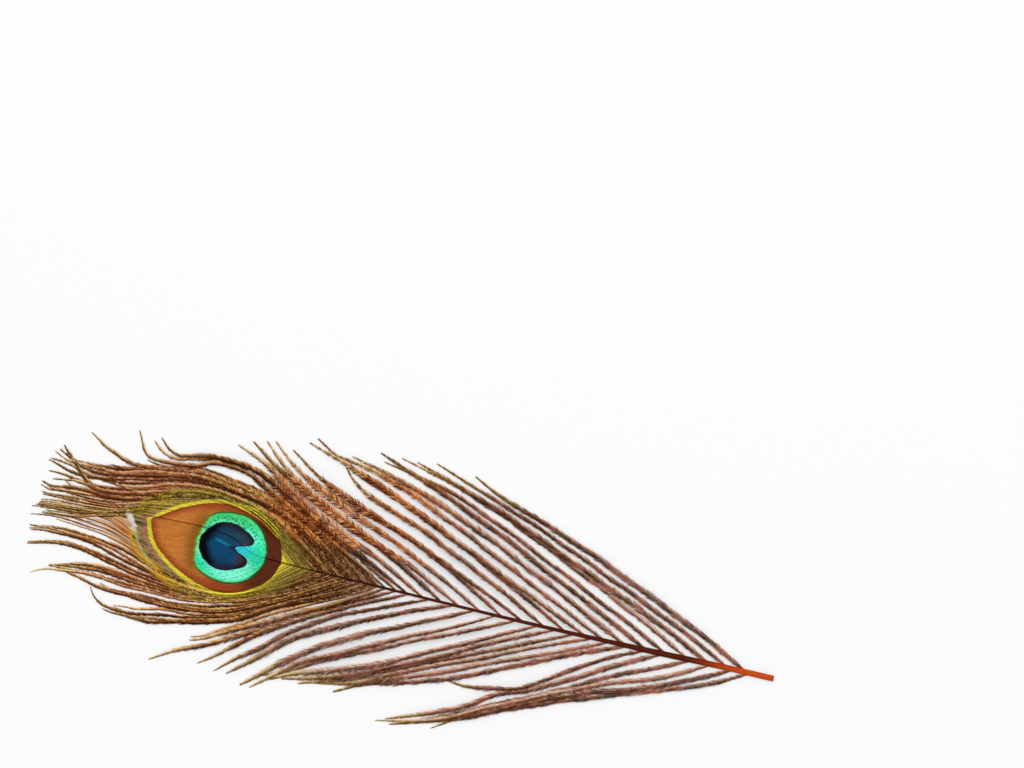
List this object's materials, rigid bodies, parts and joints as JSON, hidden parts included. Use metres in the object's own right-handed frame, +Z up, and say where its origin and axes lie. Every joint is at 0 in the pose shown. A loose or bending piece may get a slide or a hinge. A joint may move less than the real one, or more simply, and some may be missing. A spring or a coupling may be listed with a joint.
{
  "type": "peacock eye feather",
  "caption": "Peacock tail feather lying flat: a tapering shaft, loose copper barbs on both sides and an eye vane with a blue, turquoise and bronze eye.",
  "frame": {"origin": "middle of the feather's outline, on the surface it lies on", "axes": "+X along the shaft from the eye towards the cut quill, +Y across the feather, +Z up away from the surface"},
  "size_m": [0.2814, 0.098, 0.0047],
  "materials": {
    "barbs": "copper-brown feather barbs with a metallic sheen",
    "shaft": "smooth dark keratin, burnt orange at the quill",
    "eye_vane": "iridescent vane: deep blue heart, turquoise disc, bronze egg, yellow-green rings"
  },
  "bodies": {
    "root": {"feather": "barbs"}
  },
  "joints": []
}
